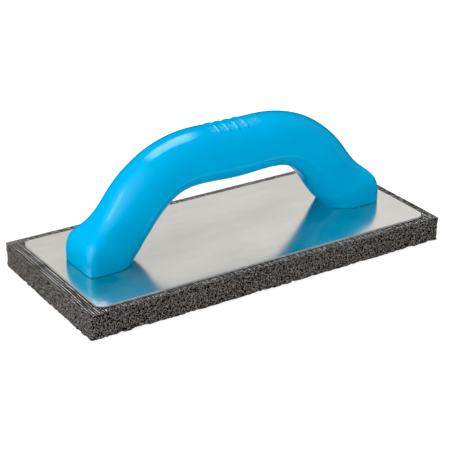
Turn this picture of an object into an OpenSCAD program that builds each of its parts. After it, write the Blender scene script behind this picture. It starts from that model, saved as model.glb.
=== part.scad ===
// Grout float: a moulded bridge handle on a metal backing plate, with a cellular rubber pad bonded below.
// Millimetres, +Z up. X runs along the float and Y across it.
// The origin is the centre of the pad's working face, so the float rests on z = 0.
// The plate and the handle sit a little in front of the pad's middle line, and the handle a little to the
// right of its middle.

/* [Pad] */
// Length of the pad
pad_length = 230; // [222:1:300]
// Width of the pad
pad_width = 101; // [99:1:140]
// Thickness of the cellular rubber
foam_thickness = 14; // [8:0.2:30]
// Thickness of the ribbed facing on top of the rubber
facing_thickness = 0.6; // [0.4:0.1:1.5]
// Radius of the pad's upright corners
pad_corner_radius = 0.5; // [0.5:0.5:5]

/* [Backing plate] */
// Length of the plate
plate_length = 217; // [205:1:220]
// Width of the plate
plate_width = 91.5; // [60:0.5:95]
// Thickness of the plate
plate_thickness = 1.2; // [0.8:0.1:2]
// Radius of the plate's corners
plate_corner_radius = 6; // [2:0.5:12]
// Thickness of the adhesive under the plate
adhesive_thickness = 0.3; // [0.1:0.1:0.5]
// Distance of the plate and the handle in front of the pad's middle line
plate_offset = 1.2; // [0:0.1:1.5]

/* [Handle] */
// Length over the outer ends of the two feet
handle_length = 196; // [190:1:200]
// Height of the grip above the plate
handle_height = 66; // [60:1:80]
// Width across the grip
handle_width = 31.5; // [30:0.5:40]
// Distance of the handle to the right of the pad's middle
handle_shift = 0.5; // [0:0.1:1]
// Wall of the handle shell
shell_wall = 3; // [2:0.1:3.5]
// Wall of the underside cover
cover_wall = 2.5; // [2:0.1:3]
// Gap in degrees between the shell and the cover, at each side
seam_gap_angle = 1.2; // [0.5:0.1:2]
// Height in degrees of the cover's tongue behind the seam
tongue_angle = 11; // [6:1:14]
// Thickness of the tongue
tongue_wall = 1.2; // [0.8:0.1:1.5]

/* [Screws] */
// Distance of the inner screws from the middle
inner_screw_x = 75; // [74:0.5:77]
// Distance of the outer screws from the middle
outer_screw_x = 89; // [87:0.5:90]
// Radius of the thread's crest
thread_radius = 2.1; // [1.5:0.1:2.1]
// Radius of the thread's root
root_radius = 1.5; // [1:0.1:1.5]
// Pitch of the thread
thread_pitch = 1.4; // [1:0.1:1.8]
// Length under the head
screw_length = 16; // [12:1:16]
// Radius of the wafer head
head_radius = 5; // [3.5:0.1:5.5]
// Thickness of the wafer head
head_thickness = 1.4; // [1:0.1:1.4]

/* [Hidden] */
$fn = 48;

// Heights of the layers, from the working face up
facing_z = foam_thickness;
adhesive_z = facing_z + facing_thickness;
plate_z = adhesive_z + adhesive_thickness;
handle_z = plate_z + plate_thickness;
head_z = plate_z - head_thickness;

// Clearance round the screw heads in the soft layers, and below them
head_clearance = 1;
head_gap_below = 0.2;
// Clearance of the shanks in the plate and in the bosses
plate_hole_clearance = 0.2;
boss_bore_clearance = 0.05;
bore_extra_depth = 1;
recess_slot = 1.1;
recess_span = 4.6;
recess_depth = 0.9;

boss_radius = 4.2;
inner_boss_height = 20;
outer_boss_height = 17;
rib_thickness = 2;
rib_height = 14;
rib_reach_x = 96;
rib_reach_y = 13.6;
cross_rib_x = 82;
grip_rib_embed = 0.7;
overlap = 0.01;

// The handle is a loft. Each row is one control section, from the middle of the grip to the foot:
// [top rail x, top rail z, under rail x, under rail z, half width, top squareness, under squareness,
// seam angle below the section's widest line, chamfer reach], for a handle 196 long, 66 high and 31.5 wide.
// The heights are above the plate. The section is chamfered beyond its chamfer reach.
nominal_length = 196;
nominal_height = 66;
nominal_width = 31.5;
grip_to_foot = [
    [0, 65.5, 0, 33.5, 15.75, 2, 3.6, 18, 1.05],
    [14, 65.75, 17, 35, 15.75, 2, 3.6, 18, 1.05],
    [30.5, 66, 32, 35, 15.75, 2, 3.6, 18, 1.05],
    [53.25, 59.75, 41, 30.5, 15, 2, 3.6, 24, 1.05],
    [73, 43.5, 51, 21, 15, 2.2, 3.2, 34, 1.1],
    [81.5, 29, 55, 13, 13, 2.8, 2.6, 44, 1.15],
    [90, 21, 58, 9, 13, 4, 2.4, 52, 1.3],
    [96, 16.75, 60, 6.5, 16, 6, 2.2, 56, 1.4],
    [98.5, 9, 64, 2.5, 16, 7, 2.2, 58, 1.4],
    [98, 0, 66, 0, 16, 7, 2.2, 58, 1.4],
];
chamfer_angle = 36;
chamfer_softness = 0.12;
chamfer_fade_start = 0.3;
chamfer_fade_length = 0.4;
steps_per_span = 3;
shell_segments = 18;
cover_segments = 10;
// Stations of the three stiffening ribs in the grip, as places along the loft from 0 to 1
grip_ribs = [0.36, 0.5, 0.64];

x_scale = handle_length / nominal_length;
z_scale = handle_height / nominal_height;
y_scale = handle_width / nominal_width;

function scaled(row) = [row[0] * x_scale, row[1] * z_scale, row[2] * x_scale, row[3] * z_scale,
                        row[4] * y_scale, row[5], row[6], row[7], row[8]];
function mirrored(row) = [-row[0], row[1], -row[2], row[3], row[4], row[5], row[6], row[7], row[8]];

half_rows = [for (row = grip_to_foot) scaled(row)];
last_row = len(half_rows) - 1;
rows = concat([for (i = [last_row:-1:1]) mirrored(half_rows[i])], half_rows);
// One extra row past each foot makes the spline end on the last row
guide_rows = concat([2 * rows[0] - rows[1]], rows, [2 * rows[2 * last_row] - rows[2 * last_row - 1]]);
spans = len(guide_rows) - 3;

function spline(a, b, c, d, t) =
    ((1 - t) ^ 3 * a + (3 * t ^ 3 - 6 * t ^ 2 + 4) * b
     + (-3 * t ^ 3 + 3 * t ^ 2 + 3 * t + 1) * c + t ^ 3 * d) / 6;
function station(place) =
    let (s = place * spans, i = min(floor(s), spans - 1))
    spline(guide_rows[i], guide_rows[i + 1], guide_rows[i + 2], guide_rows[i + 3], s - i);

stations = [for (i = [0:spans * steps_per_span]) station(i / (spans * steps_per_span))];

// A section is a superellipse from -1 to 1 each way, with a soft chamfer along its two lower edges.
// An inset thins it towards its middle.
function curve(value, squareness) = sign(value) * abs(value) ^ (2 / squareness);
function chamfer_cut(row, side, height) =
    let (excess = side * cos(chamfer_angle) - height * sin(chamfer_angle) - row[8],
         fade = min(max(1 - (height - chamfer_fade_start) / chamfer_fade_length, 0), 1))
    fade * (excess + norm([excess, chamfer_softness])) / 2;
function outline(row, angle) =
    let (squareness = sin(angle) >= 0 ? row[5] : row[6],
         side = curve(abs(cos(angle)), squareness),
         height = curve(sin(angle), squareness),
         cut = chamfer_cut(row, side, height))
    [sign(cos(angle)) * max(side - cut * cos(chamfer_angle), 0), height + cut * sin(chamfer_angle)];
function half_depth(row) = norm([row[0] - row[2], row[1] - row[3]]) / 2;
function flat_point(row, angle, inset) =
    let (place = outline(row, angle)) [place[0] * (row[4] - inset), place[1] * (half_depth(row) - inset)];
function section_point(row, angle, inset) =
    let (flat = flat_point(row, angle, inset), u = flat[1] / half_depth(row) / 2)
    [handle_shift + (row[0] + row[2]) / 2 + u * (row[0] - row[2]),
     flat[0] - plate_offset,
     handle_z + (row[1] + row[3]) / 2 + u * (row[1] - row[3])];

// The shell is the part of the section above the seam
function shell_angle(row, t) = -row[7] + t * (180 + 2 * row[7]);
function shell_ring(row) = concat(
    [for (j = [0:shell_segments]) section_point(row, shell_angle(row, j / shell_segments), 0)],
    [for (j = [shell_segments:-1:0]) section_point(row, shell_angle(row, j / shell_segments), shell_wall)]
);

// The cover is the part below the seam, with a tongue behind the shell's edge on each side
tongue_outer_inset = shell_wall + 0.2;
tongue_inner_inset = tongue_outer_inset + tongue_wall;
corner_angle = 1;
function cover_start(row) = 180 + row[7] + seam_gap_angle;
function cover_sweep(row) = 180 - 2 * (row[7] + seam_gap_angle);
function cover_ring(row) =
    let (start = cover_start(row), sweep = cover_sweep(row), end = start + sweep)
    concat(
        [for (a = [start - tongue_angle, start]) section_point(row, a, tongue_outer_inset)],
        [for (j = [0:cover_segments]) section_point(row, start + sweep * j / cover_segments, 0)],
        [for (a = [end, end + tongue_angle]) section_point(row, a, tongue_outer_inset)],
        [for (a = [end + tongue_angle, end]) section_point(row, a, tongue_inner_inset)],
        [for (j = [cover_segments:-1:0])
            let (t = j / cover_segments)
            section_point(row, start + corner_angle + (sweep - 2 * corner_angle) * t,
                          tongue_inner_inset - (tongue_inner_inset - cover_wall) * sin(180 * t))],
        [for (a = [start, start - tongue_angle]) section_point(row, a, tongue_inner_inset)]
    );

// A wall swept through closed rings. The first half of each ring is its outer line and the second half,
// in the opposite order, its inner line.
module swept_wall(rings) {
    ring = len(rings[0]);
    half = ring / 2;
    last = len(rings) - 1;
    sides = [for (i = [0:last - 1]) for (j = [0:ring - 1])
        let (k = (j + 1) % ring, a = i * ring + j, b = i * ring + k)
        each [[a, b + ring, b], [a, a + ring, b + ring]]];
    start_cap = [for (j = [0:half - 2]) [j, j + 1, ring - 2 - j, ring - 1 - j]];
    end_cap = [for (face = start_cap) [for (k = [3:-1:0]) last * ring + face[k]]];
    polyhedron([for (points = rings) each points], concat(sides, start_cap, end_cap), convexity = 10);
}

module rounded_slab(length, width, thickness, radius) {
    linear_extrude(thickness) {
        square([length - 2 * radius, width], center = true);
        square([length, width - 2 * radius], center = true);
        for (x = [-1, 1], y = [-1, 1]) {
            translate([x * (length / 2 - radius), y * (width / 2 - radius)]) circle(radius);
        }
    }
}

module at_screws() {
    for (side = [-1, 1], x = [inner_screw_x, outer_screw_x]) {
        translate([handle_shift + side * x, -plate_offset, 0]) children();
    }
}

// A layer of the sandwich with a round hole at each screw. Its middle is at y.
module drilled_layer(length, width, thickness, radius, hole_radius, y) {
    difference() {
        translate([0, y, 0]) rounded_slab(length, width, thickness, radius);
        at_screws() translate([0, 0, -1]) cylinder(h = thickness + 2, r = hole_radius);
    }
}

module grip_rib(place) {
    row = station(place);
    tilt = atan2(row[0] - row[2], row[1] - row[3]);
    inset = shell_wall - grip_rib_embed;
    lowest = row[7] + seam_gap_angle - tongue_angle - 6;
    edge = [for (j = [0:12]) flat_point(row, -lowest + j * (180 + 2 * lowest) / 12, inset)];
    translate([handle_shift + (row[0] + row[2]) / 2, -plate_offset, handle_z + (row[1] + row[3]) / 2])
        rotate([0, tilt, 0])
            rotate([90, 0, 90])
                translate([0, 0, -rib_thickness / 2])
                    linear_extrude(rib_thickness) polygon(edge);
}

module foot_bosses(side) {
    inner_x = side * inner_screw_x;
    outer_x = side * outer_screw_x;
    translate([handle_shift, -plate_offset, handle_z]) {
        translate([inner_x, 0, 0]) cylinder(h = inner_boss_height, r = boss_radius);
        translate([outer_x, 0, 0]) cylinder(h = outer_boss_height, r = boss_radius);
        translate([min(inner_x, side * rib_reach_x), -rib_thickness / 2, 0])
            cube([rib_reach_x - inner_screw_x, rib_thickness, rib_height]);
        translate([side * cross_rib_x - rib_thickness / 2, -rib_reach_y, 0])
            cube([rib_thickness, 2 * rib_reach_y, rib_height]);
    }
}

module handle_shell() {
    bore_depth = screw_length - plate_thickness + bore_extra_depth;
    color("deepskyblue")
    difference() {
        union() {
            swept_wall([for (row = stations) shell_ring(row)]);
            foot_bosses(-1);
            foot_bosses(1);
            for (place = grip_ribs) grip_rib(place);
        }
        at_screws() translate([0, 0, handle_z - 1])
            cylinder(h = bore_depth + 1, r = thread_radius + boss_bore_clearance);
    }
}

module handle_underside_cover() {
    color("dodgerblue") swept_wall([for (row = stations) cover_ring(row)]);
}

// A self-tapping screw with a wafer head, turned as one profile, with ring-shaped thread crests
module screw() {
    crests = floor((screw_length - 3) / thread_pitch);
    tip_radius = 0.4;
    tip_length = 1.6;
    thread = [for (i = [0:crests - 1]) let (z = 1 + i * thread_pitch)
        each [[root_radius, z], [thread_radius, z + thread_pitch / 2], [root_radius, z + thread_pitch]]];
    shank_top = 1 + crests * thread_pitch;
    clean = [for (i = [0:len(thread) - 1])
        if (i == 0 || norm(thread[i] - thread[i - 1]) > overlap) thread[i]];
    translate([0, 0, plate_z])
    difference() {
        rotate_extrude()
            polygon(concat(
                [[0, -head_thickness], [head_radius * 0.7, -head_thickness],
                 [head_radius * 0.93, -head_thickness * 0.7], [head_radius, 0], [root_radius, 0]],
                clean,
                [[root_radius, max(shank_top, screw_length - tip_length)], [tip_radius, screw_length],
                 [0, screw_length]]));
        for (turn = [0, 90]) {
            rotate([0, 0, turn])
                translate([-recess_span / 2, -recess_slot / 2, -head_thickness - 1])
                    cube([recess_span, recess_slot, recess_depth + 1]);
        }
    }
}

module placed_screw(x) {
    color("silver") translate([handle_shift + x, -plate_offset, 0]) screw();
}

module screw_left_outer() { placed_screw(-outer_screw_x); }
module screw_left_inner() { placed_screw(-inner_screw_x); }
module screw_right_inner() { placed_screw(inner_screw_x); }
module screw_right_outer() { placed_screw(outer_screw_x); }

module back_plate() {
    color("lightgray") translate([0, 0, plate_z])
        drilled_layer(plate_length, plate_width, plate_thickness, plate_corner_radius,
                      thread_radius + plate_hole_clearance, -plate_offset);
}

module adhesive_film() {
    color("beige") translate([0, 0, adhesive_z])
        drilled_layer(plate_length - 1, plate_width - 1, adhesive_thickness, plate_corner_radius,
                      head_radius + head_clearance, -plate_offset);
}

module pad_facing() {
    color("dimgray") translate([0, 0, facing_z])
        drilled_layer(pad_length, pad_width, facing_thickness, pad_corner_radius,
                      head_radius + head_clearance, 0);
}

module foam_pad() {
    pocket_z = head_z - head_gap_below;
    color("#3c3836")
    difference() {
        rounded_slab(pad_length, pad_width, foam_thickness, pad_corner_radius);
        at_screws() translate([0, 0, pocket_z])
            cylinder(h = foam_thickness, r = head_radius + head_clearance);
    }
}

handle_shell();
handle_underside_cover();
screw_left_outer();
screw_left_inner();
screw_right_inner();
screw_right_outer();
back_plate();
adhesive_film();
pad_facing();
foam_pad();
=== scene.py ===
"""Looks of a grout float: a glossy moulded handle, a bright metal plate and a cellular rubber pad.

Lengths are in metres, unless a name ends in _mm or _MM or a comment says millimetres. The frame is the CAD
model's: X along the float, Y across it, Z up, the working face on z = 0.
"""

import math

import bpy
import numpy as np
from mathutils import Matrix, Vector
from mathutils.geometry import delaunay_2d_cdt


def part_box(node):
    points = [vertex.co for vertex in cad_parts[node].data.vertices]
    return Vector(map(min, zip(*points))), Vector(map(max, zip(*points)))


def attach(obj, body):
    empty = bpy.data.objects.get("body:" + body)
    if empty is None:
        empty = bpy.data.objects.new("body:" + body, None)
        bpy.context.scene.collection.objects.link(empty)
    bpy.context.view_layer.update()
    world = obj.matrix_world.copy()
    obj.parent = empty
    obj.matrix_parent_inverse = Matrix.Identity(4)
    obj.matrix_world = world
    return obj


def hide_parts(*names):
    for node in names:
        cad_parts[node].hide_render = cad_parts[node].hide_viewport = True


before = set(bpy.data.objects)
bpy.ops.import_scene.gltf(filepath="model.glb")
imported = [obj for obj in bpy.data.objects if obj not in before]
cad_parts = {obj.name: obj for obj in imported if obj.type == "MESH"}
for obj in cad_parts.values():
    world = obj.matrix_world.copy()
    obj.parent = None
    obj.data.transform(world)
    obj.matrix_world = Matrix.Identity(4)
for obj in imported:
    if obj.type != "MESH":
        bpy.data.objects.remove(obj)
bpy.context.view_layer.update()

MM = 0.001
SEED = 7
rng = np.random.default_rng(SEED)

# ---------------------------------------------------------------- places taken from the frame

shell_low, shell_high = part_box("handle_shell")
plate_low, plate_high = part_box("back_plate")
facing_low, facing_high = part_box("pad_facing")
foam_low, foam_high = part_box("foam_pad")
SCREWS = ["screw_left_outer", "screw_left_inner", "screw_right_inner", "screw_right_outer"]
screw_x = [(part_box(name)[0].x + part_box(name)[1].x) / 2 for name in SCREWS]
head_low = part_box(SCREWS[0])[0].z
head_radius = (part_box(SCREWS[0])[1].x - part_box(SCREWS[0])[0].x) / 2
middle_x = (shell_low.x + shell_high.x) / 2
middle_y = (plate_low.y + plate_high.y) / 2

# ---------------------------------------------------------------- mesh helpers

SHARP_DEGREES = 40


def mesh_object(name, points, faces, material, sharp_degrees=SHARP_DEGREES):
    """A mesh object with smooth faces, and sharp edges where two faces meet at more than an angle."""
    mesh = bpy.data.meshes.new(name)
    mesh.from_pydata([tuple(p) for p in points], [], [tuple(f) for f in faces])
    mesh.validate()
    mesh.polygons.foreach_set("use_smooth", [True] * len(mesh.polygons))
    mesh.set_sharp_from_angle(angle=math.radians(sharp_degrees))
    mesh.materials.append(material)
    obj = bpy.data.objects.new(name, mesh)
    bpy.context.scene.collection.objects.link(obj)
    return obj


def point_value(obj, name, values):
    """A number on each vertex, which the material reads."""
    layer = obj.data.attributes.new(name, "FLOAT", "POINT")
    layer.data.foreach_set("value", np.asarray(values, np.float32))


def grid_faces(rows, columns, start=0, wrap=False):
    """Quads of a grid of points that is stored row by row."""
    faces = []
    for i in range(rows - 1):
        for j in range(columns if wrap else columns - 1):
            k = (j + 1) % columns
            a = start + i * columns
            b = a + columns
            faces.append((a + j, a + k, b + k, b + j))
    return faces


# ---------------------------------------------------------------- materials


class Nodes:
    """Short calls for a material's node tree."""

    def __init__(self, name):
        self.material = bpy.data.materials.new(name)
        self.material.use_nodes = True
        self.tree = self.material.node_tree
        self.tree.nodes.clear()
        self.shader = self.tree.nodes.new("ShaderNodeBsdfPrincipled")
        output = self.tree.nodes.new("ShaderNodeOutputMaterial")
        self.link(self.shader.outputs[0], output.inputs["Surface"])
        self.place = self.tree.nodes.new("ShaderNodeTexCoord").outputs["Object"]

    def link(self, source, target):
        """Joins an output to an input."""
        self.tree.links.new(source, target)

    def put(self, node, **inputs):
        """Sets a node's inputs by name, with an underscore for a space: each to a value or to an output."""
        for key, value in inputs.items():
            socket = node.inputs[key.replace("_", " ")]
            if isinstance(value, bpy.types.NodeSocket):
                self.link(value, socket)
            else:
                socket.default_value = value
        return node

    def mapped(self, scale):
        """The place, stretched by a scale along each axis."""
        node = self.tree.nodes.new("ShaderNodeMapping")
        node.inputs["Scale"].default_value = scale
        self.link(self.place, node.inputs["Vector"])
        return node.outputs["Vector"]

    def noise(self, scale, detail, rough, vector=None):
        """Smooth random values, about 1 / scale metres from one lump to the next."""
        node = self.tree.nodes.new("ShaderNodeTexNoise")
        self.put(node, Vector=vector or self.place, Scale=scale, Detail=detail, Roughness=rough)
        return node.outputs["Fac"]

    def cells(self, scale):
        """Distance from the nearest of random points, about 1 / scale metres apart."""
        node = self.tree.nodes.new("ShaderNodeTexVoronoi")
        self.put(node, Vector=self.place, Scale=scale)
        return node.outputs["Distance"]

    def attribute(self, name):
        """A number that point_value put on the mesh."""
        node = self.tree.nodes.new("ShaderNodeAttribute")
        node.attribute_name = name
        return node.outputs["Fac"]

    def math(self, operation, a, b, c=0.0):
        """A sum, a product and so on of numbers or outputs."""
        node = self.tree.nodes.new("ShaderNodeMath")
        node.operation = operation
        for socket, value in zip(node.inputs, (a, b, c)):
            if isinstance(value, bpy.types.NodeSocket):
                self.link(value, socket)
            else:
                socket.default_value = value
        return node.outputs[0]

    def ramp(self, factor, *stops):
        """Colours (r, g, b), or plain numbers, at places from 0 to 1."""
        node = self.tree.nodes.new("ShaderNodeValToRGB")
        ramp = node.color_ramp
        while len(ramp.elements) < len(stops):
            ramp.elements.new(0.5)
        for element, (position, value) in zip(ramp.elements, stops):
            element.position = position
            element.color = (*(value if isinstance(value, tuple) else (value,) * 3), 1)
        self.link(factor, node.inputs["Fac"])
        return node.outputs["Color"]

    def mix(self, factor, a, b, blend="MIX"):
        """Colours a and b, mixed by a factor, or b multiplied onto a and so on."""
        node = self.tree.nodes.new("ShaderNodeMix")
        node.data_type = "RGBA"
        node.blend_type = blend
        for name, value in (("Factor_Float", factor), ("A_Color", a), ("B_Color", b)):
            socket = next(i for i in node.inputs if i.identifier == name)
            if isinstance(value, bpy.types.NodeSocket):
                self.link(value, socket)
            else:
                socket.default_value = (*value, 1) if isinstance(value, tuple) else value
        return next(o for o in node.outputs if o.identifier == "Result_Color")

    def bump(self, height, strength, distance, normal=None):
        """A normal that is tilted by a height's slope, on top of another normal if there is one."""
        node = self.tree.nodes.new("ShaderNodeBump")
        self.put(node, Height=height, Strength=strength, Distance=distance)
        if normal:
            self.link(normal, node.inputs["Normal"])
        return node.outputs["Normal"]


# Linear red, green and blue, the darker of each pair first
BLUES = ((0.0, 0.398, 0.738), (0.0, 0.416, 0.766))
PLATE_FACE = ((0.740, 0.715, 0.660), (0.845, 0.825, 0.775))
PLATE_EDGE = (0.97, 0.97, 0.96)
# The rubber's black is painted shade inside its tiny open cells, which are too small to carve
CELL_SHADE_BLACK = (0.015, 0.013, 0.012)
RUBBER_BROWN = (0.056, 0.052, 0.049)
TORN_WALL = (0.262, 0.248, 0.236)
# The cloth's black is also painted shade in the troughs between the ribs, and the pale thread colour is also
# painted highlight on the ribs' tops
CLOTH_BLACK_AND_TROUGH_SHADE = (0.036, 0.034, 0.032)
CLOTH_GREY = (0.145, 0.144, 0.142)
PALE_THREAD_AND_RIB_HIGHLIGHT = (0.98, 0.99, 1.0)
RUBBER_DUST = ((0.030, 0.028, 0.026), (0.240, 0.232, 0.225))
FIBRE = (0.60, 0.59, 0.58)
ZINC = ((0.50, 0.50, 0.47), (0.66, 0.65, 0.61))
GLUE = ((0.50, 0.42, 0.26), (0.66, 0.58, 0.40))

# The plate's edge is matt, and its face is what lies within FACE_SKIN_MM of the top. Roughness is a grey here
EDGE_ROUGHNESS = (0.5, 0.5, 0.5)
FACE_SKIN_MM = 0.04


def blue_plastic():
    """Glossy polypropylene: faint clouds in the colour, a slight orange peel and fine rub marks."""
    n = Nodes("blue_plastic")
    clouds = n.noise(28, 4, 0.55)
    colour = n.ramp(clouds, (0.3, BLUES[0]), (0.7, BLUES[1]))
    rubs = n.noise(70, 4, 0.55)
    roughness = n.ramp(rubs, (0.35, 0.16), (0.75, 0.24))
    orange_peel = n.bump(n.noise(420, 2, 0.5), 0.05, 0.4 * MM)
    n.put(n.shader, Base_Color=colour, Roughness=roughness, Normal=orange_peel, IOR=1.5)
    return n.material


def plate_aluminium():
    """Rolled aluminium: a grain along the plate, faint smears, a cloudy film, and a bright sheared edge."""
    n = Nodes("plate_aluminium")
    grain = n.noise(1.0, 5, 0.6, n.mapped((60, 3200, 3200)))
    smears = n.noise(1.0, 5, 0.62, n.mapped((16, 30, 16)))
    face = n.ramp(smears, (0.3, PLATE_FACE[0]), (0.7, PLATE_FACE[1]))
    split = n.tree.nodes.new("ShaderNodeSeparateXYZ")
    n.link(n.place, split.inputs[0])
    on_face = n.math("GREATER_THAN", split.outputs["Z"], plate_high.z - FACE_SKIN_MM * MM)
    colour = n.mix(on_face, PLATE_EDGE, face)
    roughness = n.mix(on_face, EDGE_ROUGHNESS, n.ramp(grain, (0.3, 0.13), (0.7, 0.20)))
    scratches = n.bump(grain, 0.05, 0.05 * MM)
    normal = n.bump(n.noise(14, 2, 0.4), 0.05, 2 * MM, scratches)
    film = n.ramp(n.noise(1.0, 3, 0.5, n.mapped((22, 30, 22))), (0.35, 0.84), (0.62, 0.98))
    n.put(n.shader, Base_Color=colour, Metallic=film, Roughness=roughness, Normal=normal)
    return n.material


def cellular_rubber():
    """Charcoal brown open-cell rubber: small dark cells between paler torn walls, the cells' black being
    painted shade inside them, and painted shade that darkens the carved pores by their depth.
    """
    n = Nodes("cellular_rubber")
    grains = n.noise(1900, 1, 0.7)
    # Near each cell's middle the colour goes black, as painted shade in the tiny open cell, with the paler
    # torn walls between
    cell = n.math("MULTIPLY_ADD", grains, 2.2, n.math("SUBTRACT", n.cells(1150), 1.10))
    skin = n.ramp(cell, (0.18, CELL_SHADE_BLACK), (0.42, RUBBER_BROWN), (0.72, TORN_WALL))
    blotches = n.ramp(n.noise(650, 2, 0.6), (0.35, 0.55), (0.65, 1.05))
    # Painted shade: the colour is multiplied darker the deeper the carved pore under it
    dark = n.ramp(n.attribute("pit"), (0.0, 1.0), (0.25, 0.84), (0.8, 0.62))
    colour = n.mix(1.0, n.mix(1.0, skin, blotches, "MULTIPLY"), dark, "MULTIPLY")
    normal = n.bump(grains, 0.8, 0.4 * MM, n.bump(n.cells(1500), 0.5, 0.3 * MM))
    n.put(n.shader, Base_Color=colour, Roughness=0.9, Normal=normal, IOR=1.45, Specular_IOR_Level=0.3)
    return n.material


def ribbed_facing():
    """A dark textile with pale broken threads on its ribs, rubber dust and white fibres where it is cut. The
    ribs' tops are painted paler as highlight, and their troughs darker as shade.
    """
    n = Nodes("ribbed_facing")
    threads = n.noise(1.0, 2, 0.8, n.mapped((500, 1300, 500)))
    # Painted highlight and shade: the higher the ribs stand, the paler the cloth, broken up by the threads
    lit = n.math("MULTIPLY", n.attribute("rib"), threads)
    cloth = n.ramp(lit, (0.22, CLOTH_BLACK_AND_TROUGH_SHADE), (0.40, CLOTH_GREY), (0.48, PALE_THREAD_AND_RIB_HIGHLIGHT))
    dust = n.ramp(n.noise(1350, 1, 0.6), (0.38, RUBBER_DUST[0]), (0.62, RUBBER_DUST[1]))
    near_cut = n.math("MULTIPLY_ADD", n.noise(240, 3, 0.6), 0.9, n.attribute("cut"))
    at_cut = n.ramp(near_cut, (0.75, 0.0), (1.05, 1.0))
    fibres = n.ramp(n.noise(1.0, 2, 0.6, n.mapped((700, 1300, 1300))), (0.63, 0.0), (0.68, 1.0))
    colour = n.mix(fibres, n.mix(at_cut, cloth, dust), FIBRE)
    normal = n.bump(n.noise(2600, 3, 0.6), 0.4, 0.2 * MM)
    n.put(n.shader, Base_Color=colour, Roughness=0.85, Normal=normal, Specular_IOR_Level=0.15)
    return n.material


def screw_steel():
    """Zinc-plated steel with faint stains."""
    n = Nodes("screw_steel")
    stain = n.noise(900, 4, 0.6)
    colour = n.ramp(stain, (0.3, ZINC[0]), (0.7, ZINC[1]))
    roughness = n.ramp(n.noise(2400, 3, 0.5), (0.3, 0.28), (0.7, 0.42))
    n.put(n.shader, Base_Color=colour, Metallic=1.0, Roughness=roughness)
    return n.material


def dried_adhesive():
    """Yellowish contact glue, brushed on along the pad."""
    n = Nodes("dried_adhesive")
    smears = n.noise(1.0, 5, 0.6, n.mapped((80, 400, 400)))
    colour = n.ramp(smears, (0.3, GLUE[0]), (0.7, GLUE[1]))
    normal = n.bump(smears, 0.5, 0.3 * MM)
    n.put(n.shader, Base_Color=colour, Roughness=0.5, Normal=normal)
    return n.material


# ---------------------------------------------------------------- the handle's loft

# The same control sections as in the CAD model, from the middle of the grip to the foot. The columns, in
# millimetres and degrees: top rail x and z, under rail x and z, half width, top squareness, under squareness,
# seam angle, chamfer reach
GRIP_TO_FOOT_MM = np.array([
    [0, 65.5, 0, 33.5, 15.75, 2, 3.6, 18, 1.05],
    [14, 65.75, 17, 35, 15.75, 2, 3.6, 18, 1.05],
    [30.5, 66, 32, 35, 15.75, 2, 3.6, 18, 1.05],
    [53.25, 59.75, 41, 30.5, 15, 2, 3.6, 24, 1.05],
    [73, 43.5, 51, 21, 15, 2.2, 3.2, 34, 1.1],
    [81.5, 29, 55, 13, 13, 2.8, 2.6, 44, 1.15],
    [90, 21, 58, 9, 13, 4, 2.4, 52, 1.3],
    [96, 16.75, 60, 6.5, 16, 6, 2.2, 56, 1.4],
    [98.5, 9, 64, 2.5, 16, 7, 2.2, 58, 1.4],
    [98, 0, 66, 0, 16, 7, 2.2, 58, 1.4],
])
TOP_RAIL = slice(0, 2)
UNDER_RAIL = slice(2, 4)
HALF_WIDTH = slice(4, 5)
TOP_SQUARENESS = slice(5, 6)
UNDER_SQUARENESS = slice(6, 7)
SEAM_DEGREES = 7
CHAMFER_REACH = slice(8, 9)
MIRROR_X = np.array([-1, 1, -1, 1, 1, 1, 1, 1, 1])

# The chamfer along the handle's under side fades out above the middle of the section
CHAMFER_DEGREES = 36
CHAMFER_COS = math.cos(math.radians(CHAMFER_DEGREES))
CHAMFER_SIN = math.sin(math.radians(CHAMFER_DEGREES))
CHAMFER_SOFTNESS = 0.12
CHAMFER_FADE_START = 0.3
CHAMFER_FADE_LENGTH = 0.4

# Walls of the two hollow mouldings, and how finely an outline is measured
WALL_MM = 3.0
COVER_WALL_MM = 2.5
OUTLINE_SAMPLES = 241


def guide_rows():
    """Control rows from foot to foot, with one more row past each end so that the spline reaches the feet."""
    left = GRIP_TO_FOOT_MM[:0:-1] * MIRROR_X
    rows = np.vstack([left, GRIP_TO_FOOT_MM])
    return np.vstack([2 * rows[0] - rows[1], rows, 2 * rows[-1] - rows[-2]])


GUIDES = guide_rows()


def rows_at(places):
    """The spline's rows at places from 0, the left foot, to 1, the right foot."""
    spans = len(GUIDES) - 3
    s = np.clip(np.asarray(places) * spans, 0, spans)
    i = np.minimum(s.astype(int), spans - 1)
    t = (s - i)[:, None]
    weights = [(1 - t) ** 3, 3 * t**3 - 6 * t**2 + 4, -3 * t**3 + 3 * t**2 + 3 * t + 1, t**3]
    return sum(w * GUIDES[i + k] for k, w in enumerate(weights)) / 6


def section(rows, degrees):
    """Across and along places, from -1 to 1, on each row's outline at an array of angles."""
    sine = np.sin(np.radians(degrees))
    cosine = np.cos(np.radians(degrees))
    power = 2 / np.where(sine >= 0, rows[:, TOP_SQUARENESS], rows[:, UNDER_SQUARENESS])
    along = np.sign(sine) * np.abs(sine) ** power
    across = np.abs(cosine) ** power
    excess = across * CHAMFER_COS - along * CHAMFER_SIN - rows[:, CHAMFER_REACH]
    cut = (excess + np.sqrt(excess**2 + CHAMFER_SOFTNESS**2)) / 2
    cut *= np.clip(1 - (along - CHAMFER_FADE_START) / CHAMFER_FADE_LENGTH, 0, 1)
    return np.sign(cosine) * np.maximum(across - cut * CHAMFER_COS, 0), along + cut * CHAMFER_SIN


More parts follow.
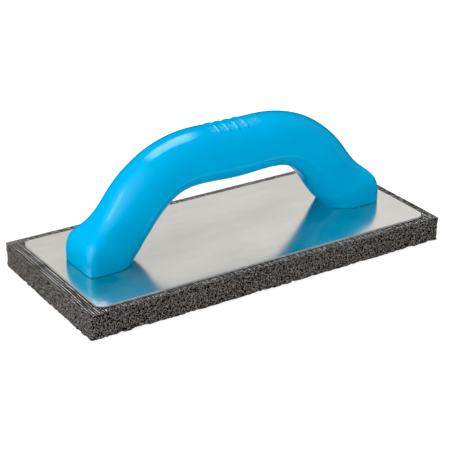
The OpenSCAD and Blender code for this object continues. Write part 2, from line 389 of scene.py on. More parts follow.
def loft(rows, degrees, inset_mm=0.0):
    """Points on the handle in millimetres above the plate, for rows and an array of angles for each."""
    across, along = section(rows, degrees)
    top, under = rows[:, TOP_RAIL], rows[:, UNDER_RAIL]
    middle, half = (top + under) / 2, (top - under) / 2
    depth = np.linalg.norm(half, axis=1)[:, None]
    reach = along * (depth - inset_mm) / depth
    width = across * (rows[:, HALF_WIDTH] - inset_mm)
    x = middle[:, 0:1] + reach * half[:, 0:1]
    z = middle[:, 1:2] + reach * half[:, 1:2]
    return np.stack([x, width, z], axis=-1)


def spread_angles(rows, start, end, steps):
    """For each row, angles from start to end. The steps, from 0 to 1, are shares of the outline's length."""
    out = np.empty((len(rows), len(steps)))
    for i, row in enumerate(rows):
        fine = np.linspace(start[i], end[i], OUTLINE_SAMPLES)
        line = loft(row[None], fine[None])[0]
        length = np.concatenate([[0], np.cumsum(np.linalg.norm(np.diff(line, axis=0), axis=1))])
        out[i] = np.interp(np.asarray(steps) * length[-1], length, fine)
    return out


def normals_of(grid):
    """Unit normals of a grid of points."""
    n = np.cross(np.gradient(grid, axis=0), np.gradient(grid, axis=1))
    return n / np.maximum(np.linalg.norm(n, axis=-1, keepdims=True), 1e-12)


# The stippled panel on top of the grip, with a few raised bars across it
PANEL_LENGTH_MM = 40
PANEL_WIDTH_MM = 22
PANEL_DEPTH_MM = 0.10
PANEL_CORNER_MM = 6
PANEL_WALL_MM = 3.0
PANEL_EDGE_DEGREES = 40
DOT_PITCH_MM = 1.3
DOT_ROW_PITCH_MM = DOT_PITCH_MM * 0.866
DOT_RADIUS_MM = 0.42 * DOT_PITCH_MM
DOT_HEIGHT_MM = 0.12
DOTS_INSET_MM = 1.6
DOTS_FADE_MM = 0.6
BARS_X_MM = (-12, -5.5, 1, 7.5)
BAR_WIDTH_MM = 1.8
BAR_LENGTH_MM = 17.0
BAR_HEIGHT_MM = 0.45
BAR_SLOPE_MM = 0.5

# Stations along the handle: fine steps under the panel and a little past it, even steps down each leg with a
# gap before and after, and a few by the plate, at these distances from the loft's end
LOFT_SAMPLES = 4001
PANEL_STEP_MM = 0.24
PANEL_MARGIN_MM = 2
LEG_STATIONS = 84
LEG_GAPS_MM = (0.6, 1.2)
FOOT_STATIONS_MM = (0.8, 0.5, 0.32, 0.18, 0.08, 0.0)

# Points round a station: up each side, over the top, and under the cover. The inner skins take every third
# point, and the cover takes every fourth station on the grip
SIDE_POINTS = 28
TOP_POINTS = 106
COVER_POINTS = 43
INNER_STRIDE = 3
COVER_STRIDE = 4

# The feet's lower edge is rounded, only on the part of the loft beyond FEET_BEYOND_MM from its middle
FOOT_ROUND_MM = 0.5
FEET_BEYOND_MM = 60
SEAM_GAP_DEGREES = 0.25


def stations():
    """Places along the loft, and their distances from its middle in millimetres: close together on the grip's
    panel and by the plate, wider elsewhere."""
    fine = np.linspace(0, 1, LOFT_SAMPLES)
    rows = rows_at(fine)
    middle = (rows[:, TOP_RAIL] + rows[:, UNDER_RAIL]) / 2
    length = np.concatenate([[0], np.cumsum(np.linalg.norm(np.diff(middle, axis=0), axis=1))])
    length -= length[-1] / 2
    end = length[-1]
    grip = np.arange(0, PANEL_LENGTH_MM / 2 + PANEL_MARGIN_MM, PANEL_STEP_MM)
    leg = np.linspace(grip[-1] + LEG_GAPS_MM[0], end - LEG_GAPS_MM[1], LEG_STATIONS)
    foot = end - np.array(FOOT_STATIONS_MM)
    half = np.concatenate([grip, leg, foot])
    along = np.concatenate([-half[:0:-1], half])
    return np.interp(along, length, fine), along


def panel_depth(u, v):
    """How deep the panel lies at u along the grip and v across it, with raised dots in rows on its floor."""
    qx = np.abs(u) - (PANEL_LENGTH_MM / 2 - PANEL_CORNER_MM)
    qy = np.abs(v) - (PANEL_WIDTH_MM / 2 - PANEL_CORNER_MM)
    outside = np.hypot(np.maximum(qx, 0), np.maximum(qy, 0)) + np.minimum(np.maximum(qx, qy), 0)
    signed = outside - PANEL_CORNER_MM
    t = np.clip(-signed / PANEL_WALL_MM, 0, 1)
    depth = PANEL_DEPTH_MM * t * t * (3 - 2 * t)
    row = np.round(v / DOT_ROW_PITCH_MM)
    shifted = u / DOT_PITCH_MM + 0.5 * (row % 2)
    du = (shifted - np.round(shifted)) * DOT_PITCH_MM
    dv = v - row * DOT_ROW_PITCH_MM
    dot = np.clip(1 - (du**2 + dv**2) / DOT_RADIUS_MM**2, 0, 1)
    inside = np.clip((-signed - DOTS_INSET_MM) / DOTS_FADE_MM, 0, 1)
    raised = DOT_HEIGHT_MM * dot * inside
    for x in BARS_X_MM:
        away = np.maximum(np.abs(u - x) - BAR_WIDTH_MM / 2, np.abs(v) - BAR_LENGTH_MM / 2)
        raised = np.maximum(raised, BAR_HEIGHT_MM * np.clip(0.5 - away / BAR_SLOPE_MM, 0, 1))
    return depth - raised


def edge_round(distance, radius):
    """How far a surface drops at a distance from an edge that is rounded to a radius."""
    s = np.clip(distance, 0, radius)
    return radius - np.sqrt(radius**2 - (radius - s) ** 2)


def distance_along(grid):
    """Distance along each ring from its first point."""
    steps = np.linalg.norm(np.diff(grid, axis=1), axis=-1)
    return np.concatenate([np.zeros((len(grid), 1)), np.cumsum(steps, axis=1)], axis=1)


def to_frame(points_mm):
    """Millimetres above the plate to metres in the frame."""
    return points_mm.reshape(-1, 3) * MM + np.array([middle_x, middle_y, shell_low.z])


def closed_wall(name, outer, inner, material):
    """A solid between an outer grid and an inner grid with fewer points in each row."""
    rows, columns = outer.shape[:2]
    few = inner.shape[1]
    ratio = (columns - 1) // (few - 1)
    start = rows * columns
    faces = grid_faces(rows, columns)
    faces += [tuple(reversed(f)) for f in grid_faces(rows, few, start)]
    for i in range(rows - 1):
        a, b = i * columns, start + i * few
        faces.append((a, a + columns, b + few, b))
        a, b = a + columns - 1, b + few - 1
        faces.append((a, b, b + few, a + columns))
    for i, flip in ((0, False), (rows - 1, True)):
        for j in range(few - 1):
            rim = [i * columns + j * ratio + k for k in range(ratio + 1)]
            face = [start + i * few + j, *rim, start + i * few + j + 1]
            faces.append(tuple(face if flip else reversed(face)))
    points = np.vstack([to_frame(outer), to_frame(inner)])
    return mesh_object(name, points, faces, material)


def build_shell(material):
    """The handle's upper shell, from seam to seam over the top, with the panel and rounded feet."""
    places, along = stations()
    rows = rows_at(places)
    seam = rows[:, SEAM_DEGREES]
    edge = np.full(len(rows), float(PANEL_EDGE_DEGREES))
    low_side = spread_angles(rows, -seam, edge, np.linspace(0, 1, SIDE_POINTS))
    top = spread_angles(rows, edge, 180 - edge, np.linspace(0, 1, TOP_POINTS))[:, 1:-1]
    high_side = 180 - low_side[:, ::-1]
    angles = np.hstack([low_side, top, high_side])
    outer = loft(rows, angles)
    normal = normals_of(outer)
    run = distance_along(outer)
    across = run - run[:, -1:] / 2
    sink = panel_depth(along[:, None], across)
    centre = outer.mean(axis=1, keepdims=True)
    outwards = np.sign(np.sum(normal * (outer - centre), -1, keepdims=True)) * normal
    outer = outer - outwards * sink[..., None]
    height = np.maximum(outer[..., 2], 0)
    on_foot = np.abs(along) > FEET_BEYOND_MM
    foot = edge_round(height, FOOT_ROUND_MM)[..., None] * on_foot[:, None, None]
    middle = (rows[:, TOP_RAIL] + rows[:, UNDER_RAIL])[:, :1] / 2
    inward = np.stack([middle - outer[..., 0], -outer[..., 1], np.zeros_like(outer[..., 0])], axis=-1)
    inward /= np.maximum(np.linalg.norm(inward, axis=-1, keepdims=True), 1e-9)
    outer = outer + inward * foot
    outer[0, :, 2] = 0
    outer[-1, :, 2] = 0
    inner = loft(rows, angles[:, ::INNER_STRIDE], WALL_MM)
    return closed_wall("handle_shell_skin", outer, inner, material)


def build_cover(material):
    """The cover that closes the shell from below, a hair clear of it, with fewer stations on the grip."""
    places, along = stations()
    keep = np.abs(along) > PANEL_LENGTH_MM / 2
    keep |= np.arange(len(along)) % COVER_STRIDE == 0
    rows = rows_at(places[keep])
    start = 180 + rows[:, SEAM_DEGREES] + SEAM_GAP_DEGREES
    end = 360 - rows[:, SEAM_DEGREES] - SEAM_GAP_DEGREES
    angles = spread_angles(rows, start, end, np.linspace(0, 1, COVER_POINTS))
    outer = loft(rows, angles)
    inner = loft(rows, angles[:, ::INNER_STRIDE], COVER_WALL_MM)
    return closed_wall("handle_underside_cover_skin", outer, inner, material)


# ---------------------------------------------------------------- the pad

PAD_CORNER_MM = 0.5
PORE_SIZE_POWER = 2.6
PORE_DEPTH_TO_RADIUS = 1.2
FULL_TURN = 6.283


def round_corner(points, low, high, radius):
    """Bends a rectangle's corners round: each point near a corner keeps its distance from the edge. The
    second result is the direction outwards, or zero inside."""
    inner_low, inner_high = np.asarray(low) + radius, np.asarray(high) - radius
    base = np.clip(points, inner_low, inner_high)
    offset = points - base
    square = np.max(np.abs(offset), axis=-1, keepdims=True)
    length = np.linalg.norm(offset, axis=-1, keepdims=True)
    return base + offset * square / np.maximum(length, 1e-12), offset / np.maximum(length, 1e-12)


def perimeter(low, high, nx, ny):
    """Points round a rectangle, counter-clockwise from its low corner, nx along X and ny along Y."""
    x = np.linspace(low[0], high[0], nx + 1)
    y = np.linspace(low[1], high[1], ny + 1)
    sides = [
        np.stack([x[:-1], np.full(nx, low[1])], -1),
        np.stack([np.full(ny, high[0]), y[:-1]], -1),
        np.stack([x[:0:-1], np.full(nx, high[1])], -1),
        np.stack([np.full(ny, low[0]), y[:0:-1]], -1),
    ]
    return np.vstack(sides)


def carve(depth, u_step, v_step, centres, wrap):
    """Sinks round pores, each (u, v, radius, depth), into a grid of depths."""
    rows, columns = depth.shape
    for u, v, radius, deep in centres:
        i0, i1 = int((v - radius) / v_step), int((v + radius) / v_step) + 1
        j0, j1 = int(math.floor((u - radius) / u_step)), int((u + radius) / u_step) + 1
        i = np.arange(max(i0, 0), min(i1, rows - 1) + 1)
        j = np.arange(j0, j1 + 1)
        if not wrap:
            j = j[(j >= 0) & (j < columns)]
        if len(i) == 0 or len(j) == 0:
            continue
        d2 = ((i[:, None] * v_step - v) ** 2 + (j[None] * u_step - u) ** 2) / radius**2
        pit = deep * np.sqrt(np.clip(1 - d2, 0, 1))
        patch = np.ix_(i, j % columns)
        depth[patch] = np.maximum(depth[patch], pit)


def scattered_pores(width, height, per_mm2, smallest, largest):
    """Random pores over an area in millimetres, more of them small."""
    count = int(width * height * per_mm2)
    size = smallest + (largest - smallest) * rng.random(count) ** PORE_SIZE_POWER
    deep = size * PORE_DEPTH_TO_RADIUS
    return np.stack([rng.random(count) * width, rng.random(count) * height, size, deep], -1)


def waves(u, lengths, heights):
    """A smooth wobble along u, from a few sines with random phases."""
    return sum(h * np.sin(2 * np.pi * u / w + rng.random() * FULL_TURN) for w, h in zip(lengths, heights))


def lumps(shape, step, spread):
    """Random heights with a standard deviation of one, smoothed over a spread. They repeat past each edge."""
    field = rng.normal(size=shape)
    for axis, count in enumerate(shape):
        blur = np.exp(-2 * (np.pi * np.fft.fftfreq(count, step) * spread) ** 2)
        blur = blur.reshape([-1 if k == axis else 1 for k in range(len(shape))])
        field = np.fft.ifft(np.fft.fft(field, axis=axis) * blur, axis=axis).real
    return field / field.std()


# The rubber's mesh: columns and rows on the working face, rows up the sides, and points on the sides for each
# one on the face
FACE_COLUMNS = 384
FACE_ROWS = 168
SIDE_ROWS = 48
SIDE_TO_FACE = 2

# Torn sides: pores, a rough skin, and a cut that wanders in and out of the box
SIDE_PORES = {"per_mm2": 0.85, "smallest": 0.20, "largest": 0.42}
SIDE_PORE_LIMIT_MM = 1.1
SIDE_ROUGH_MM = 0.08
CUT_WAVE_LENGTHS_MM = (61, 23, 9.1)
CUT_WAVE_HEIGHTS_MM = (0.06, 0.05, 0.05)
CUT_LUMP_MM = 0.14
CUT_LUMP_SPREAD_MM = 0.6
CUT_OUTWARDS_MM = 0.38
CUT_OUTWARDS_LIMIT_MM = 0.7
LOW_EDGE_DROP_MM, LOW_EDGE_HEIGHT_MM = 0.12, 0.9
TOP_EDGE_DROP_MM, TOP_EDGE_HEIGHT_MM = 0.1, 0.8
TOP_RING_LIMIT_MM = 0.5

# Crumbs torn off the lower edge raise the lowest ring, and the next two by a share of that
CHIP_MM = 0.40
CHIP_SPREAD_MM = 0.8
CHIP_LIMIT_MM = 0.9
PORE_LIFT = 0.3
ROUGH_LIFT = 0.5
LIFT_LIMIT_MM = 0.95
LIFT_SHARES = np.array([[0.6], [0.25]])

# The working face: larger open pores in a nearly flat skin, a little inside the outline
FACE_PORES = {"per_mm2": 0.40, "smallest": 0.40, "largest": 1.1}
FACE_PORE_LIMIT_MM = 1.3
FACE_ROUGH_MEAN_MM, FACE_ROUGH_MM, FACE_ROUGH_LIMIT_MM = 0.02, 0.05, 0.2
FACE_INSET_MM = 0.35
RUBBER_SHARP_DEGREES = 75


def foam_side(low, high, size):
    """The side's points in millimetres, ring above ring from the lowest, and how deep its pores are."""
    ring = perimeter(low, high, FACE_COLUMNS * SIDE_TO_FACE, FACE_ROWS * SIDE_TO_FACE)
    ring, outward = round_corner(ring, low, high, PAD_CORNER_MM)
    total = 2 * (size.x + size.y)
    u_step = total / len(ring)
    depth = np.zeros((SIDE_ROWS + 1, len(ring)))
    carve(depth, u_step, size.z / SIDE_ROWS, scattered_pores(total, size.z, **SIDE_PORES), True)
    depth = np.minimum(depth, SIDE_PORE_LIMIT_MM)
    rough = np.abs(rng.normal(0, SIDE_ROUGH_MM, depth.shape))
    u = np.arange(len(ring)) * u_step
    cut = waves(u, CUT_WAVE_LENGTHS_MM, CUT_WAVE_HEIGHTS_MM)
    cut = cut + CUT_LUMP_MM * lumps(depth.shape, u_step, CUT_LUMP_SPREAD_MM) - CUT_OUTWARDS_MM
    z = np.linspace(0, size.z, SIDE_ROWS + 1)[:, None]
    round_low = LOW_EDGE_DROP_MM * np.clip(1 - z / LOW_EDGE_HEIGHT_MM, 0, 1) ** 2
    round_top = TOP_EDGE_DROP_MM * np.clip(1 - (size.z - z) / TOP_EDGE_HEIGHT_MM, 0, 1) ** 2
    sink = depth + rough + np.maximum(cut, -CUT_OUTWARDS_LIMIT_MM) + round_low + round_top
    sink[-1] = np.minimum(sink[-1], TOP_RING_LIMIT_MM)
    side = np.empty((SIDE_ROWS + 1, len(ring), 3))
    side[..., :2] = ring[None] - outward[None] * sink[..., None]
    side[..., 2] = z
    chips = np.clip(CHIP_MM * lumps(depth.shape[1:], u_step, CHIP_SPREAD_MM), 0, CHIP_LIMIT_MM)
    lift = np.minimum(PORE_LIFT * depth[0] + ROUGH_LIFT * rough[0] + chips, LIFT_LIMIT_MM)
    side[0, :, 2] = lift
    side[1:3, :, 2] += lift * LIFT_SHARES
    return side, depth


def foam_face(low, high, size):
    """The working face's grid of points in millimetres, inside its outline, and how deep its pores are."""
    gx = np.linspace(low[0], high[0], FACE_COLUMNS + 1)
    gy = np.linspace(low[1], high[1], FACE_ROWS + 1)
    inner = np.stack(np.meshgrid(gx[1:-1], gy[1:-1], indexing="xy"), -1)
    depth = np.zeros(inner.shape[:2])
    pores = scattered_pores(size.x, size.y, **FACE_PORES)
    carve(depth, size.x / FACE_COLUMNS, size.y / FACE_ROWS, pores, False)
    depth = np.minimum(depth, FACE_PORE_LIMIT_MM)
    rough = np.clip(rng.normal(FACE_ROUGH_MEAN_MM, FACE_ROUGH_MM, depth.shape), 0, FACE_ROUGH_LIMIT_MM)
    flat, _ = round_corner(inner, low, high, PAD_CORNER_MM)
    shrink = 1 - FACE_INSET_MM / np.array([size.x / 2, size.y / 2])
    return np.concatenate([flat * shrink, (depth + rough)[..., None]], -1), depth


def build_foam(material):
    """The rubber block: torn pores on its sides and working face, cut a little unevenly."""
    size = (foam_high - foam_low) / MM
    low, high = np.array(foam_low)[:2] / MM, np.array(foam_high)[:2] / MM
    side, side_depth = foam_side(low, high, size)
    bottom, face_depth = foam_face(low, high, size)
    count = side.shape[1]
    rows, columns = bottom.shape[:2]
    base = side[..., 0].size
    faces = grid_faces(SIDE_ROWS + 1, count, 0, wrap=True)
    faces += [tuple(reversed(f)) for f in grid_faces(rows, columns, base)]
    faces += stitch(count, SIDE_TO_FACE, base, columns, rows)
    top_points, top_faces = pad_top(side[-1], SIDE_ROWS * count, base + rows * columns)
    faces += top_faces
    points = np.vstack([side.reshape(-1, 3), bottom.reshape(-1, 3), top_points])
    obj = mesh_object("foam_pad_rubber", points * MM, faces, material, RUBBER_SHARP_DEGREES)
    # The pores' depths, which the rubber's material turns into painted shade
    pore_shade_depths = [np.minimum(side_depth, 1).reshape(-1), np.minimum(face_depth, 1).reshape(-1)]
    point_value(obj, "pit", np.concatenate([*pore_shade_depths, np.zeros(len(top_points))]))
    return obj


def stitch(count, ratio, base, columns, rows):
    """Faces between the side's lowest ring and the border of the working face's grid, which has one point for
    each ratio points of the ring."""
    border = [base + j for j in range(columns)]
    border += [base + i * columns + columns - 1 for i in range(1, rows)]
    border += [base + (rows - 1) * columns + j for j in range(columns - 2, -1, -1)]
    border += [base + i * columns for i in range(rows - 2, 0, -1)]
    corners = {0, columns - 1, columns + rows - 2, 2 * columns + rows - 3}
    faces, ring = [], 0
    for k, point in enumerate(border):
        if k in corners:
            start = (ring - ratio) % count
            rim = [(start + i) % count for i in range(2 * ratio + 1)]
            faces.append((point, *reversed(rim)))
            ring += ratio
        following = border[(k + 1) % len(border)]
        rim = [(ring + i) % count for i in range(ratio + 1)]
        faces.append((point, following, *reversed(rim)))
        ring += ratio
    return faces


POCKET_CLEARANCE_MM = 1
POCKET_BELOW_HEAD_MM = 0.2
CIRCLE_STEPS = 40
INSIDE_POCKET = 0.97


def pad_top(edge, edge_start, start):
    """The block's flat top with a pocket for each screw head, inside the side's top ring. The ring's points
    are numbered from edge_start and the new ones from start."""
    steps = CIRCLE_STEPS
    radius = head_radius / MM + POCKET_CLEARANCE_MM
    top, floor = foam_high.z / MM, head_low / MM - POCKET_BELOW_HEAD_MM
    turn = np.linspace(0, 2 * np.pi, steps, endpoint=False)
    centres = [np.array([x, middle_y]) / MM for x in screw_x]
    circles = [centre + radius * np.stack([np.cos(turn), np.sin(turn)], -1) for centre in centres]
    flat = [Vector(p[:2]) for p in edge] + [Vector(p) for c in circles for p in c]
    loops = [list(range(len(edge)))]
    for c in range(len(circles)):
        first = len(edge) + c * steps
        loops.append([first + k for k in reversed(range(steps))])
    edges = [(a, b) for loop in loops for a, b in zip(loop, loop[1:] + loop[:1])]
    verts, _, tris, *_ = delaunay_2d_cdt(flat, edges, [], 0, 1e-7)
    points = [[*p, top] for c in circles for p in c]
    points += [[*p, floor] for c in circles for p in c]
    many = len(circles) * steps

    def number(k):
        return edge_start + k if k < len(edge) else start + k - len(edge)

    outline_low, outline_high = edge[:, :2].min(0), edge[:, :2].max(0)
    faces = []
    for tri in tris:
        middle = np.mean([np.array(verts[k]) for k in tri], axis=0)
        in_pocket = any(np.linalg.norm(middle - c) < radius * INSIDE_POCKET for c in centres)
        if not in_pocket and np.all(middle > outline_low) and np.all(middle < outline_high):
            faces.append(tuple(number(k) for k in tri))
    for c in range(len(circles)):
        a = start + c * steps
        b = a + many
        for k in range(steps):
            following = (k + 1) % steps
            faces.append((a + following, a + k, b + k, b + following))
        faces.append(tuple(b + k for k in range(steps)))
    return np.array(points), faces


# The ribs across the facing. Each bends slowly by RIB_SWAY_MM and quickly by RIB_SHAKE_MM, and stands a
# little higher or lower than the next one. The lengths are in millimetres for each radian of the wave
RIB_PITCH_MM = 1.4
RIB_HEIGHT_MM = 0.22
RIB_SHARPNESS = 2.5
RIB_SWAY_MM, RIB_SWAY_LENGTH, RIB_SWAY_START = 0.18, 7.3, 1.0
RIB_SHAKE_MM, RIB_SHAKE_LENGTH, RIB_SHAKE_DRIFT = 0.1, 2.1, 31
RIB_MEAN, RIB_VARIES, RIB_VARIES_TURN = 0.9, 0.1, 2.4
POINTS_PER_RIB = 7
# The value of the ribs' painted highlight and shade on the facing's underside
RIB_ON_UNDERSIDE = 0.3

# Rows of points across the facing: close together on the rims, and a few under the plate
FRONT_ROWS = 12
MIDDLE_ROWS = 12
BACK_ROWS = 14
ROWS_PAST_RIM_MM = 1
MIDDLE_INSET_MM = 4

# The cut edge sags, and wanders out from the box. Along the back it also curls up and out, from BACK_FLAT_MM
# behind the plate on. Rubber dust covers it for DUSTY_MM, and for more at the back
EDGE_BORDER_MM = 0.05
EDGE_SAG_MM = 0.12
EDGE_OUTWARDS_MM = 0.10
EDGE_WANDER_MM = 0.10
EDGE_WANDER_PER_MM = (1.9, 0.31)
BACK_FLAT_MM = 0.4
BACK_CURL_UP_MM = 0.45
BACK_CURL_OUT_MM = 0.5
DUSTY_MM = 0.9
BACK_DUSTY_MORE_MM = 2.1
NEVER_SHARP_DEGREES = 180


def rib_ridge(xy):
    """How high the ribs stand, from 0 to 1. They run across the pad, a little unevenly."""
    x, y = xy[..., 0], xy[..., 1]
    sway = RIB_SWAY_MM * np.sin(y / RIB_SWAY_LENGTH + RIB_SWAY_START)
    shake = RIB_SHAKE_MM * np.sin(y / RIB_SHAKE_LENGTH + x / RIB_SHAKE_DRIFT)
    phase = (x + (sway + shake)) / RIB_PITCH_MM
    strength = RIB_MEAN + RIB_VARIES * np.sin(np.round(phase) * RIB_VARIES_TURN)
    return np.abs(np.cos(np.pi * phase)) ** RIB_SHARPNESS * strength


def build_facing(material):
    """The textile facing: a thin slab whose top is ribbed across the pad, with fibres at its cut edges."""
    low, high = np.array(facing_low)[:2] / MM, np.array(facing_high)[:2] / MM
    bottom, top = facing_low.z / MM, facing_high.z / MM
    plate_front, plate_back = plate_low.y / MM, plate_high.y / MM
    rim, back_rim = plate_front - low[1], high[1] - plate_back
    count = int((high[0] - low[0]) / RIB_PITCH_MM * POINTS_PER_RIB)
    x = np.linspace(low[0], high[0], count + 1)
    y = np.concatenate([
        low[1] + np.linspace(0, rim + ROWS_PAST_RIM_MM, FRONT_ROWS),
        np.linspace(plate_front + MIDDLE_INSET_MM, plate_back - MIDDLE_INSET_MM, MIDDLE_ROWS),
        high[1] - np.linspace(back_rim + ROWS_PAST_RIM_MM, 0, BACK_ROWS),
    ])
    xy = np.stack(np.meshgrid(x, y, indexing="ij"), -1)
    flat, _ = round_corner(xy, low, high, PAD_CORNER_MM)
    ridge = rib_ridge(xy)
    border = np.minimum(np.minimum(xy[..., 0] - x[0], x[-1] - xy[..., 0]),
                        np.minimum(xy[..., 1] - y[0], y[-1] - xy[..., 1]))
    behind = np.clip((xy[..., 1] - plate_back - BACK_FLAT_MM) / (back_rim - BACK_FLAT_MM), 0, 1)
    height = top - RIB_HEIGHT_MM * (1 - ridge) - EDGE_SAG_MM * (border < EDGE_BORDER_MM)
    height += BACK_CURL_UP_MM * np.sqrt(behind)
    quick, slow = EDGE_WANDER_PER_MM
    wander = np.sin(xy[..., 0] * quick) * np.sin(xy[..., 0] * slow + xy[..., 1])
    inwards = EDGE_WANDER_MM * wander - EDGE_OUTWARDS_MM - BACK_CURL_OUT_MM * behind
    half = np.abs(flat).max(axis=(0, 1))
    flat = flat * (1 - inwards[..., None] / half)
    rows, columns = height.shape
    many = rows * columns
    upper = np.concatenate([flat, height[..., None]], -1).reshape(-1, 3)
    lower = np.concatenate([flat, np.full_like(height, bottom)[..., None]], -1).reshape(-1, 3)
    faces = [tuple(reversed(f)) for f in grid_faces(rows, columns)]
    faces += grid_faces(rows, columns, many)
    loop = list(range(columns)) + [i * columns + columns - 1 for i in range(1, rows)]
    loop += [(rows - 1) * columns + j for j in range(columns - 2, -1, -1)]
    loop += [i * columns for i in range(rows - 2, 0, -1)]
    for a, b in zip(loop, loop[1:] + loop[:1]):
        faces.append((a, b, b + many, a + many))
    points = np.vstack([upper, lower]) * MM
    obj = mesh_object("pad_facing_cloth", points, faces, material, NEVER_SHARP_DEGREES)
    # The ribs' heights, which the cloth's material turns into painted highlight on their tops and painted
    # shade in their troughs
    point_value(obj, "rib", np.concatenate([ridge.reshape(-1), np.full(many, RIB_ON_UNDERSIDE)]))
    cut = np.clip(1 - border / (DUSTY_MM + BACK_DUSTY_MORE_MM * behind), 0, 1).reshape(-1)
    point_value(obj, "cut", np.concatenate([cut, cut]))
    return obj


# ---------------------------------------------------------------- hidden pieces of the handle

# The bosses, with a height for each screw from left to right
BOSS_RADIUS_MM = 4.2
BORE_RADIUS_MM = 2.15
BORE_DEPTH_MM = 15.8
BOSS_HEIGHTS_MM = (17, 20, 20, 17)
ABOVE_PLATE_MM = 0.02

# A rib across each foot, and three along it that tie the bosses to it and to the end wall. Each has the x of
# its middle, its length and its width
STIFFENER_HEIGHT_MM = 14
STIFFENERS_MM = ((82, 2, 27), (94.2, 2.8, 2), (80.2, 1.6, 2), (83.9, 1.8, 2))


def build_bosses(material):
    """The four screw bosses inside the feet, with the ribs that tie them to the walls."""
    steps = CIRCLE_STEPS
    points, faces = [], []
    turn = np.linspace(0, 2 * np.pi, steps, endpoint=False)
    for x, height in zip(screw_x, BOSS_HEIGHTS_MM):
        start = len(points)
        rings = ((BOSS_RADIUS_MM, ABOVE_PLATE_MM), (BOSS_RADIUS_MM, height),
                 (BORE_RADIUS_MM, ABOVE_PLATE_MM), (BORE_RADIUS_MM, BORE_DEPTH_MM))
        for r, z in rings:
            points += [((x - middle_x) / MM + r * math.cos(a), r * math.sin(a), z) for a in turn]
        for k in range(steps):
            following = (k + 1) % steps
            a, b, c, d = (start + i * steps for i in range(4))
            faces.append((a + k, a + following, b + following, b + k))
            faces.append((c + k, d + k, d + following, c + following))
            faces.append((a + following, a + k, c + k, c + following))
        faces.append(tuple(b + k for k in range(steps)))
        faces.append(tuple(d + k for k in reversed(range(steps))))
    for side in (-1, 1):
        for x, length, width in STIFFENERS_MM:
            middle = (side * x, 0, STIFFENER_HEIGHT_MM / 2 + ABOVE_PLATE_MM)
            add_box(points, faces, middle, (length, width, STIFFENER_HEIGHT_MM))
    return mesh_object("handle_bosses", to_frame(np.array(points)), faces, material)


def add_box(points, faces, centre, size):
    """Adds a box's corners and faces to lists of points and faces."""
    start = len(points)
    for sx in (-0.5, 0.5):
        for sy in (-0.5, 0.5):
            for sz in (-0.5, 0.5):
                points.append(tuple(c + s * d for c, s, d in zip(centre, (sx, sy, sz), size)))
    for quad in ((0, 1, 3, 2), (4, 6, 7, 5), (0, 4, 5, 1), (2, 3, 7, 6), (0, 2, 6, 4), (1, 5, 7, 3)):
        faces.append(tuple(start + k for k in quad))


# ---------------------------------------------------------------- put it together

blue = blue_plastic()
aluminium = plate_aluminium()
rubber = cellular_rubber()
cloth = ribbed_facing()

shell = build_shell(blue)
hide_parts("handle_shell")
bosses = build_bosses(blue)
cover = build_cover(blue)
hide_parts("handle_underside_cover")
foam = build_foam(rubber)
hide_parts("foam_pad")
facing = build_facing(cloth)
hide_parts("pad_facing")
for piece in (shell, bosses, cover, foam, facing):
    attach(piece, "root")


PLATE_BEVEL_MM = 0.3
BEVEL_SEGMENTS = 3
BEVEL_ABOVE_DEGREES = 50


def finish_cad_node(name, material, bevel_mm=0.0):
    """A CAD node that stays: its material, and rounded edges where it has a bevel."""
    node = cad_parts[name]
    node.data.materials.clear()
    node.data.materials.append(material)
    if bevel_mm:
        weld = node.modifiers.new("weld", "WELD")
        weld.merge_threshold = 1e-6
        bevel = node.modifiers.new("bevel", "BEVEL")
        bevel.width = bevel_mm * MM
        bevel.segments = BEVEL_SEGMENTS
        bevel.limit_method = "ANGLE"
        bevel.angle_limit = math.radians(BEVEL_ABOVE_DEGREES)
        bevel.harden_normals = True


finish_cad_node("back_plate", aluminium, PLATE_BEVEL_MM)
finish_cad_node("adhesive_film", dried_adhesive())
steel = screw_steel()
for screw_name in SCREWS:
    finish_cad_node(screw_name, steel)

# ---------------------------------------------------------------- floor, light and camera

FLOOR_GREYS = ((0.40, 0.40, 0.40), (0.42, 0.42, 0.42))
FLOOR_GLOW = 0.80
FLOOR_HALF = 6.0
FLOOR_BELOW = 0.0002


def pale_floor():
    """A pale floor that glows a little and isn't mirrored in the plate."""
    n = Nodes("pale_floor")
    colour = n.ramp(n.noise(6, 2, 0.5), (0.3, FLOOR_GREYS[0]), (0.7, FLOOR_GREYS[1]))
    n.put(n.shader, Base_Color=colour, Roughness=0.7)
    n.put(n.shader, Emission_Color=(1, 1, 1, 1), Emission_Strength=FLOOR_GLOW)
    signs = ((-1, -1), (1, -1), (1, 1), (-1, 1))
    corners = [(x * FLOOR_HALF, y * FLOOR_HALF, -FLOOR_BELOW) for x, y in signs]
    mesh = bpy.data.meshes.new("floor")
    mesh.from_pydata(corners, [], [(0, 1, 2, 3)])
    mesh.materials.append(n.material)
    obj = bpy.data.objects.new("floor", mesh)
    bpy.context.scene.collection.objects.link(obj)
    obj.visible_glossy = False


def direction(azimuth, elevation):
    """A unit vector. Azimuth 0 is in front, along -Y, and 90 is along +X."""
    a, e = math.radians(azimuth), math.radians(elevation)
    return Vector((math.sin(a) * math.cos(e), -math.cos(a) * math.cos(e), math.sin(e)))


LIGHT_AIM = Vector((0, 0, 0.05))


def soft_box(name, azimuth, elevation, distance, size, radiance, lit):
    """An area light that faces the middle of the handle and lights some of the objects."""
    light = bpy.data.lights.new(name, "AREA")
    light.shape = "RECTANGLE"
    light.size, light.size_y = size
    light.energy = radiance * math.pi * size[0] * size[1]
    obj = bpy.data.objects.new(name, light)
    obj.location = LIGHT_AIM + distance * direction(azimuth, elevation)
    obj.rotation_euler = (LIGHT_AIM - obj.location).to_track_quat("-Z", "Y").to_euler()
    obj.visible_camera = False
    receivers = bpy.data.collections.new(name + "_receivers")
    for receiver in lit:
        receivers.objects.link(receiver)
    obj.light_linking.receiver_collection = receivers
    bpy.context.scene.collection.objects.link(obj)


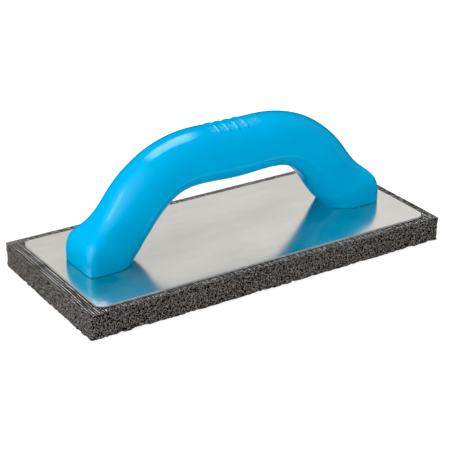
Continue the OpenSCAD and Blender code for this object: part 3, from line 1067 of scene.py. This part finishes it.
# Azimuth, elevation, sharpness and radiance
SKY_LOBES = (
    (-60, 20, 2, 1.13),
    (50, 20, 2, 0.52),
    (-100, 20, 4, 1.22),
    (110, 50, 4, 0.28),
)


def studio_world():
    """A dark room that is brighter towards a few directions, each a smooth lobe."""
    world = bpy.data.worlds.new("studio")
    world.use_nodes = True
    nodes, links = world.node_tree.nodes, world.node_tree.links
    place = nodes.new("ShaderNodeTexCoord").outputs["Generated"]
    total = None
    for azimuth, elevation, sharpness, level in SKY_LOBES:
        dot = nodes.new("ShaderNodeVectorMath")
        dot.operation = "DOT_PRODUCT"
        links.new(place, dot.inputs[0])
        dot.inputs[1].default_value = direction(azimuth, elevation)
        facing_it = nodes.new("ShaderNodeMath")
        facing_it.operation = "MAXIMUM"
        links.new(dot.outputs["Value"], facing_it.inputs[0])
        facing_it.inputs[1].default_value = 0.0
        lobe = nodes.new("ShaderNodeMath")
        lobe.operation = "POWER"
        links.new(facing_it.outputs[0], lobe.inputs[0])
        lobe.inputs[1].default_value = sharpness
        added = nodes.new("ShaderNodeMath")
        added.operation = "MULTIPLY_ADD"
        links.new(lobe.outputs[0], added.inputs[0])
        added.inputs[1].default_value = level
        added.inputs[2].default_value = 0.0
        if total:
            links.new(total, added.inputs[2])
        total = added.outputs[0]
    links.new(total, nodes["Background"].inputs["Strength"])
    nodes["Background"].inputs["Color"].default_value = (1, 1, 1, 1)
    bpy.context.scene.world = world


CAMERA_YAW_DEGREES = -32.9
CAMERA_PITCH_DEGREES = 24.92
CAMERA_ROLL_DEGREES = 0.45
CAMERA_DISTANCE = 0.8127
CAMERA_ASIDE = -0.00177
CAMERA_ABOVE = 0.0032
CAMERA_LENS_MM = 113.1
SENSOR_WIDTH_MM = 36


def place_camera():
    """The view from the front left, above the float's left end."""
    yaw, pitch = math.radians(CAMERA_YAW_DEGREES), math.radians(CAMERA_PITCH_DEGREES)
    roll = math.radians(CAMERA_ROLL_DEGREES)
    back = Vector((math.sin(yaw) * math.cos(pitch), -math.cos(yaw) * math.cos(pitch), math.sin(pitch)))
    level = Vector((math.cos(yaw), math.sin(yaw), 0))
    upright = back.cross(level)
    right = math.cos(roll) * level + math.sin(roll) * upright
    up = math.cos(roll) * upright - math.sin(roll) * level
    aim = Vector((0, middle_y, facing_high.z))
    place = CAMERA_DISTANCE * back + CAMERA_ASIDE * right + CAMERA_ABOVE * up + aim
    data = bpy.data.cameras.new("camera")
    data.lens = CAMERA_LENS_MM
    data.sensor_width = SENSOR_WIDTH_MM
    camera = bpy.data.objects.new("camera", data)
    turned = Matrix((right, up, back)).transposed().to_4x4()
    camera.matrix_world = Matrix.Translation(place) @ turned
    bpy.context.scene.collection.objects.link(camera)
    bpy.context.scene.camera = camera


pale_floor()
studio_world()
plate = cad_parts["back_plate"]
others = [obj for obj in bpy.context.scene.objects if obj.type == "MESH" and obj is not plate]
# Name, azimuth, elevation, distance, size, radiance and what it lights. The overhead one would glare in the
# plate, and the last two are there for the plate's reflections
soft_box("overhead", 175, 68, 2.5, (1.65, 1.65), 4.8, others)
soft_box("left", -100, 34, 1.5, (0.5, 0.3), 2.3, [*others, plate])
soft_box("window", 143, 25, 2.0, (1.5, 0.8), 0.67, [plate])
soft_box("edge_light", 49, 49, 2.0, (0.9, 0.9), 0.3, [plate])
place_camera()

BLACK_LEVEL = 0.030
bpy.context.scene.view_settings.view_transform = "Standard"
bpy.context.scene.view_settings.use_curve_mapping = True
bpy.context.scene.view_settings.curve_mapping.black_level = (BLACK_LEVEL,) * 3
